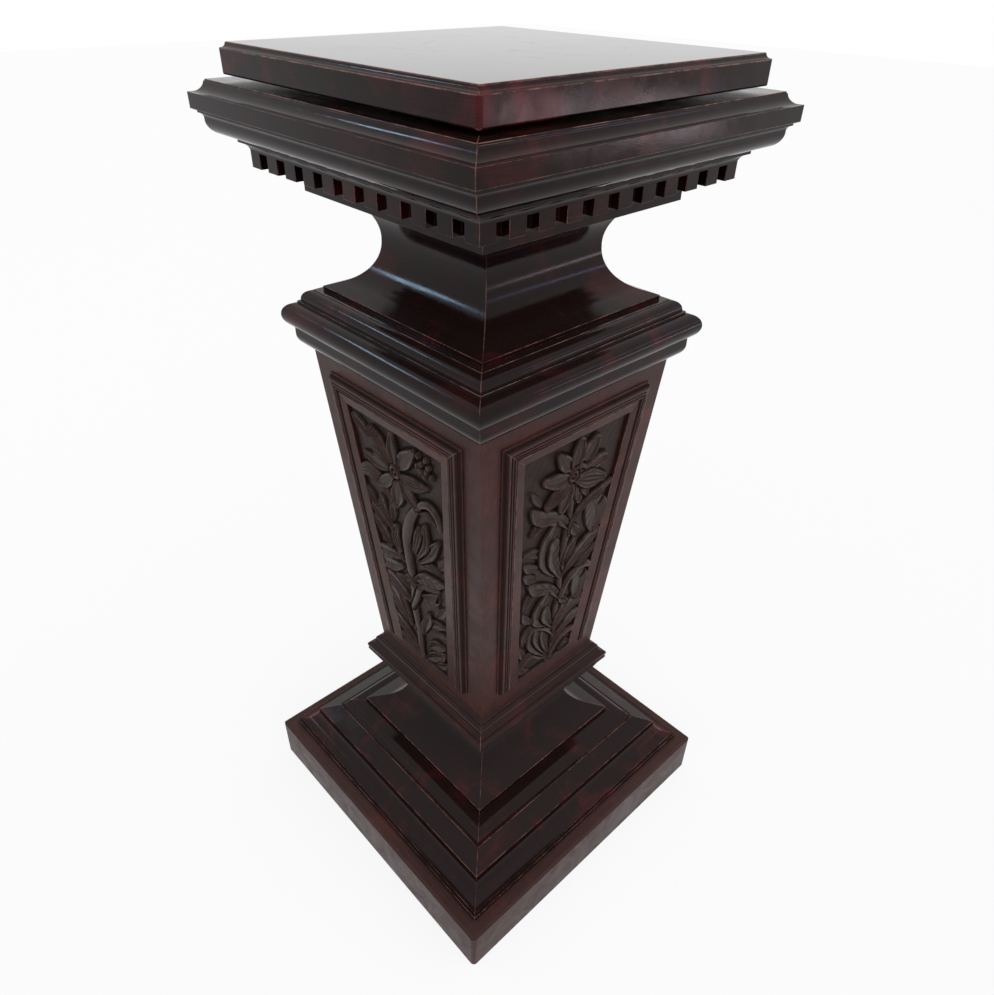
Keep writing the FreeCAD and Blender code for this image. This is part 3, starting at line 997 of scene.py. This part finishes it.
    def _section(self, stroke: Stroke, along: np.ndarray, q: np.ndarray, side: np.ndarray,
                 inside: np.ndarray) -> np.ndarray:
        """Shapes the stroke across its width.

        Args:
            stroke: The stroke.
            along: Share of the spine's length at each point.
            q: Distance from the spine as a share of the half width.
            side: Which side of the spine a point is on.
            inside: Distance in from the stroke's edge in millimetres.

        Returns:
            The height of the stroke above the panel's back.
        """
        rise = stroke.rise - stroke.form.value[1] * along ** 2
        across = q * side
        if stroke.form is STEM:
            shape = 0.50 + 0.50 * np.sqrt(np.clip(1.0 - q * q, 0.0, 1.0))
        elif stroke.form is DOME:
            shape = 0.30 + 0.70 * np.sqrt(np.clip(1.0 - q * q, 0.0, 1.0))
        elif stroke.form is PETAL:
            shape = 0.54 + 0.40 * q ** 2 + 0.08 * along + 0.05 * np.cos(across * 7.0 + 0.5)
        elif stroke.form is RIBBED:
            shape = 0.73 + 0.15 * np.cos(stroke.ribs * math.pi * across) + 0.14 * q ** 2
        else:
            veins = 0.05 * np.cos(2.0 * math.pi * (along * 4.5 - 0.9 * q)) * q
            veins = veins * (max(stroke.widths) > 7)
            tip = 0.16 * np.exp(-((1.0 - along) / 0.3) ** 2) * (1 - q)
            shape = 0.50 + 0.44 * q ** 1.8 + 0.14 * across + tip
            shape = shape + veins - 0.10 * np.exp(-(q / 0.14) ** 2) * (along < 0.8)
        rounded = np.sqrt(np.clip(1.0 - (1.0 - np.clip(inside / 0.7, 0.0, 1.0)) ** 2, 0.0, 1.0))
        return self.ground_mm + rise * np.minimum(shape, 1.03) - 0.7 * (1.0 - rounded)

    def _finish_edges(self, u: np.ndarray, v: np.ndarray) -> None:
        """Leaves the facets of the gouge on the carving, and keeps its edge under the frame's."""
        facets = np.sin(u * 1.3 + 2.0 * np.sin(v * 0.43)) * np.sin(v * 1.1 + 1.7 * np.sin(u * 0.37))
        raised = np.clip((self.level - self.ground_mm) / 2.0, 0.0, 1.0)
        self.level += self.facet_mm * facets * raised
        rim = np.minimum(self._half_opening(v) - np.abs(u), self.long_mm - v)
        fall = np.clip(rim / self.rim_mm, 0.0, 1.0)
        self.level = np.minimum(self.level, self.edge_mm) * (1.0 - fall) + self.level * fall

    def _cavity(self, across: int) -> tuple[np.ndarray, np.ndarray]:
        """Works out how sunk each point is under its surroundings, and how proud on a ridge.

        Args:
            across: Points in one row of the grid.

        Returns:
            The depth, one in the deepest hollows, and the ridge, one on the sharpest ridges.
        """
        grid = self.level.reshape(-1, across)

        def soften(reach: int) -> np.ndarray:
            """Averages the carving over so many points each way."""
            soft = grid
            for axis in (0, 1):
                margin = [(reach, reach) if axis == a else (0, 0) for a in (0, 1)]
                wide = np.pad(soft, margin, mode="edge")
                spots, count = np.arange(grid.shape[axis]), 2 * reach + 1
                soft = sum(np.take(wide, spots + k, axis) for k in range(count)) / count
            return soft

        # painted shade: points sunk under their surroundings, and the low ground, darken
        under = np.clip((soften(self.hollow_reach) - grid) / 2.1, 0.0, 1.0)
        depth = np.maximum(under, np.clip((3.4 - grid) / 2.3, 0.0, 0.30))
        # painted highlight, partly wear: points proud of their surroundings on high relief lighten
        proud = np.clip((grid - soften(self.ridge_reach)) / 1.3, 0.0, 1.0)
        ridge = proud * np.clip((grid - 4.0) / 2.5, 0.0, 1.0)
        return depth.ravel(), ridge.ravel()

    def _close_back(self, piece: Piece) -> None:
        """Turns the sheet into a thin solid with a flat back."""
        pick(piece)
        bpy.ops.object.mode_set(mode="EDIT")
        bpy.ops.mesh.select_all(action="SELECT")
        bpy.ops.mesh.region_to_loop()
        bpy.ops.mesh.extrude_edges_move(TRANSFORM_OT_translate={"value": (0.0, 0.0, -1.0)})
        bpy.ops.mesh.edge_face_add()
        bpy.ops.mesh.select_all(action="SELECT")
        bpy.ops.mesh.normals_make_consistent(inside=False)
        bpy.ops.object.mode_set(mode="OBJECT")

    def _seat(self, mesh: Mesh, u: np.ndarray, v: np.ndarray) -> None:
        """Places every point of the panel on its tapered face.

        Args:
            mesh: The closed panel.
            u: Places of the relief's points across the panel.
            v: Places of the relief's points up the panel; not used.
        """
        points = read_points(mesh)
        n = np.zeros(len(points))
        n[:len(u)] = self.level
        up = (points[:, 1] + 1.0) / 2.0 * self.long_mm
        across = points[:, 0] * self._half_opening(up)
        tilt = math.atan(self.taper)
        x = self.foot_mm[0] + up * math.sin(tilt) + n * math.cos(tilt)
        z = self.foot_mm[1] + up * math.cos(tilt) - n * math.sin(tilt)
        turn = math.radians(self.turn_degrees)
        placed = np.stack([x * math.cos(turn) - across * math.sin(turn),
                           x * math.sin(turn) + across * math.cos(turn), z], 1) * MM
        mesh.vertices.foreach_set("co", placed.ravel())
        mesh.update()


# ---- sub-assemblies


@dataclass
class MitredRing:
    """Four lengths of one moulding mitred round the stand."""

    name: str
    finish: FrenchPolish
    ease_mm: float = 0.4

    def build(self) -> list[Piece]:
        """Builds the four lengths, the grain along each.

        Returns:
            The four pieces.
        """
        along_y = self.finish.build(Grain.ALONG_Y)
        along_x = self.finish.build(Grain.ALONG_X)
        grains = {"right": along_y, "back": along_x, "left": along_y, "front": along_x}
        return [EasedTimber(f"{self.name}_{side}", STAND, grains[side], self.ease_mm).build()
                for side in TURNS]


@dataclass
class TaperedShaft:
    """The four tapered boards with their planted frames and carved panels."""

    finish: FrenchPolish
    carved: CarvedMahogany
    board_ease_mm: float = 0.9
    frame_ease_mm: float = 0.45
    frame_quirk_mm: float = 5.5

    def build(self) -> list[Piece]:
        """Builds boards, frames and panels.

        Returns:
            All the pieces of the shaft.
        """
        upright = self.finish.build(Grain.UPRIGHT)
        along_y = self.finish.build(Grain.ALONG_Y)
        along_x = self.finish.build(Grain.ALONG_X)
        rails = {"right": along_y, "back": along_x, "left": along_y, "front": along_x}
        dark = self.carved.build()
        pieces = []
        for side in TURNS:
            turn = math.radians(TURNS[side])
            outward = (math.cos(turn), math.sin(turn), 0.0)
            board = EasedTimber(f"shaft_board_{side}", STAND, upright, self.board_ease_mm)
            pieces.append(board.build())
            for name, timber in (("frame_stile_a", upright), ("frame_stile_b", upright),
                                 ("frame_rail", rails[side])):
                frame_length = EasedTimber(
                    f"{name}_{side}", STAND, timber, self.frame_ease_mm,
                    quirk_mm=self.frame_quirk_mm, outward=outward, mitred=False)
                pieces.append(frame_length.build())
            strokes = BROAD_FLOWER if side in ("right", "back") else NARROW_FLOWER
            pieces.append(CarvedPanel(f"carved_panel_{side}", TURNS[side], strokes, dark).build())
        return pieces


@dataclass
class RevolvingTop:
    """The turning top board and the steel swivel under it."""

    finish: FrenchPolish
    mirror: FrenchPolish
    steel: TurnedSteel
    ease_mm: float = 0.7
    upper_face: float = 1.049
    level: float = 0.999

    def build(self) -> list[Piece]:
        """Builds the top and finishes the swivel.

        Returns:
            The pieces of the top.
        """
        top = EasedTimber("top_slab", REVOLVING_TOP, self.finish.build(Grain.ALONG_X), self.ease_mm,
                          mitred=False).build()
        top.data.materials.append(self.mirror.build(Grain.ALONG_X))
        for face in top.data.polygons:
            face.material_index = 1 if (
                face.normal.z > self.level and face.center.z > self.upper_face) else 0
        metal = self.steel.build()
        for node in ("lower_swivel_plate", "upper_swivel_plate", "pivot_pin", "pivot_nut"):
            dress_node(node, metal)
        return [top]


@dataclass
class InnerBoards:
    """The softwood boards and glue blocks that the mouldings are fixed to."""

    finish: AgedPine
    nodes: tuple = ("top_board", "base_board", "corner_blocks")

    def build(self) -> None:
        """Finishes the boards."""
        pine = self.finish.build()
        for node in self.nodes:
            dress_node(node, pine)


def dress_node(node: str, material: Material) -> None:
    """Gives a solid of the frame its finish.

    Args:
        node: The solid's name.
        material: The finish.
    """
    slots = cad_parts[node].data.materials
    slots.clear()
    slots.append(material)


# ---- studio


@dataclass(frozen=True)
class Softbox:
    """A rectangular lamp aimed at a point of the stand."""

    name: str
    place: tuple
    aim: tuple
    size: tuple
    watts: float
    colour: str

    def build(self) -> None:
        """Hangs the lamp."""
        lamp = bpy.data.lights.new(self.name, "AREA")
        lamp.shape = "RECTANGLE"
        lamp.size, lamp.size_y = self.size
        lamp.energy = self.watts
        lamp.color = linear_colour(self.colour)[:3]
        holder = bpy.data.objects.new(self.name, lamp)
        holder.location = self.place
        way = Vector(self.aim) - Vector(self.place)
        holder.rotation_euler = way.to_track_quat("-Z", "Y").to_euler()
        bpy.context.scene.collection.objects.link(holder)


@dataclass
class Studio:
    """White floor and surroundings, three windows and the camera at the photograph's place."""

    floor_half: float = 12.0
    even_light: float = 0.80
    right_light: float = 0.45
    floor_bounced: str = "#5e5d5e"
    floor_white_share: float = 0.85
    focal_px: float = 766.9
    centre_px: tuple = (494.58, 506.54)
    image_px: tuple = (994, 995)
    sensor_mm: float = 36.0
    nearest: float = 0.02
    camera_place: tuple = (0.6002, -0.5579, 1.1202)
    azimuth: float = 46.498
    pitch: float = 35.840
    roll: float = 1.027
    lamps: tuple = (
        Softbox("window_front_left", (-2.24, -1.55, 2.21), (0.0, -0.09, 0.85), (0.47, 0.23), 5.8,
                "#b9deff"),
        Softbox("window_low_right", (2.1, 2.2, 0.57), (0.0, 0.0, 0.85), (0.88, 0.16), 2.3,
                "#ffe7ef"),
        Softbox("window_high_right", (2.1, 2.2, 1.62), (0.0, 0.0, 0.87), (0.88, 0.14), 1.5,
                "#c3c8ff"),
    )

    def build(self) -> None:
        """Builds floor, surroundings, lamps and camera."""
        self._floor()
        self._surroundings()
        for lamp in self.lamps:
            lamp.build()
        self._camera()
        bpy.context.scene.view_settings.view_transform = "Standard"

    @staticmethod
    def _seen(add: Adder, rays: Node) -> Node:
        """Marks the rays that see the white background.

        Args:
            add: Adds a node to the tree.
            rays: Its Light Path node.

        Returns:
            A node, 1 for rays from the camera, off a gloss or through glass and 0 for the rest.
        """
        gloss = add("Math", MAXIMUM, [rays.outputs["Is Camera Ray"], rays.outputs["Is Glossy Ray"]])
        return add("Math", MAXIMUM, [gloss, rays.outputs["Is Transmission Ray"]])

    def _floor(self) -> None:
        """Lays the floor, white where it is seen and mirrored, with the stand's shadow on it."""
        bpy.ops.object.select_all(action="DESELECT")
        bpy.ops.mesh.primitive_plane_add(size=2.0 * self.floor_half, location=(0.0, 0.0, 0.0))
        floor = bpy.context.object
        floor.name = "studio_floor"
        material, add = bare_material("studio_floor")
        rays = add("LightPath")
        seen = self._seen(add, rays)
        colour = add("Mix", COLOURS, {0: seen, 6: linear_colour(self.floor_bounced), 7: WHITE})
        matt = add("BsdfDiffuse", None, {"Color": colour.outputs[2], "Roughness": 0.3})
        white = add("Emission", None, {"Color": WHITE, "Strength": 1.0})
        share = add("Math", MULTIPLY, [seen, self.floor_white_share])
        mixed = add("MixShader", None, [share, matt, white])
        add("OutputMaterial", None, {0: mixed})
        floor.data.materials.append(material)

    def _surroundings(self) -> None:
        """Sets the light from all round, fuller from the right, white where seen or mirrored."""
        world = bpy.data.worlds.new("studio")
        bpy.context.scene.world = world
        world.use_nodes = True
        world.node_tree.nodes.clear()
        add = partial(add_node, world.node_tree)
        rays = add("LightPath")
        way = add("TexCoord").outputs["Generated"]
        fuller = add("VectorMath", {"operation": "DOT_PRODUCT"}, {
            0: way, 1: (self.right_light, 0.0, 0.0)})
        soft = add("Math", {"operation": "ADD"}, [fuller.outputs["Value"], self.even_light])
        strength = add("Mix", {"data_type": "FLOAT"}, {0: self._seen(add, rays), 2: soft, 3: 1.0})
        glow = add("Background", None, {"Color": WHITE, "Strength": strength})
        add("OutputWorld", None, {0: glow})

    def _camera(self) -> None:
        """Places the camera where the photograph was taken from."""
        azimuth, pitch, roll = (math.radians(a) for a in (self.azimuth, self.pitch, self.roll))
        back = Vector((math.sin(azimuth) * math.cos(pitch), -math.cos(azimuth) * math.cos(pitch),
                       math.sin(pitch)))
        right = (-back).cross(Vector((0.0, 0.0, 1.0))).normalized()
        up = right.cross(-back)
        across = math.cos(roll) * right + math.sin(roll) * up
        over = -math.sin(roll) * right + math.cos(roll) * up
        pose = Matrix((across, over, back)).transposed().to_4x4()
        pose.translation = Vector(self.camera_place)
        lens = bpy.data.cameras.new("photograph")
        longest = max(self.image_px)
        lens.sensor_width = self.sensor_mm
        lens.lens = self.focal_px / longest * self.sensor_mm
        lens.shift_x = (self.image_px[0] / 2.0 - self.centre_px[0]) / longest
        lens.shift_y = (self.centre_px[1] - self.image_px[1] / 2.0) / longest
        lens.clip_start = self.nearest
        camera = bpy.data.objects.new("photograph", lens)
        camera.matrix_world = pose
        bpy.context.scene.collection.objects.link(camera)
        bpy.context.scene.camera = camera


# ---- the stand


def main() -> None:
    """Builds the stand's pieces in order from the floor up, then the studio."""
    logging.basicConfig(level=logging.INFO, format="%(name)s: %(message)s")
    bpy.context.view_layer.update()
    polish = FrenchPolish("polished_mahogany")
    satin = FrenchPolish(
        "satin_mahogany", deep="#40241f", ruddy_and_glint="#5a2c27", rubbed="#9a7a6e", thin_from=0.54,
        gloss=0.26, cloudy=0.18, wear=0.9, mitre_wear=0.0, dusty=0.1)
    dusty = FrenchPolish(
        "dusty_mahogany", deep="#3b211e", ruddy_and_glint="#532a26", rubbed="#1c1110", gloss=0.30,
        cloudy=0.20, wear=0.7, mitre_wear=0.8, dusty=0.5)
    edges = FrenchPolish("polished_edge", ruddy_and_glint="#56141a", thin_from=0.50, mitre_wear=0.0)
    thin = FrenchPolish("thin_polish", deep="#2a1110", ruddy_and_glint="#4d1f1b", thin_from=0.58)
    mirror = FrenchPolish(
        "polished_top", film=0.5, thin_from=0.80, gloss=0.06, cloudy=0.05, ripple_mm=0.03,
        mitre_wear=0.0, dusty=0.0, wear=0.5, ringed=True)
    assemblies = (
        MitredRing("plinth", dusty, 1.0),
        MitredRing("base_moulding", polish, 0.4),
        MitredRing("base_scotia", polish, 0.5),
        MitredRing("foot_moulding", thin, 0.35),
        TaperedShaft(satin, CarvedMahogany()),
        MitredRing("capital", polish, 0.45),
        MitredRing("neck", polish, 0.35),
        MitredRing("dentil_course", polish, 0.45),
        MitredRing("cornice", polish, 0.45),
        RevolvingTop(edges, mirror, TurnedSteel()),
        InnerBoards(AgedPine()),
    )
    for assembly in assemblies:
        for piece in assembly.build() or ():
            log.info("%s: %d faces", piece.name, len(piece.data.polygons))
    Studio().build()


if __name__ == "__main__":
    main()
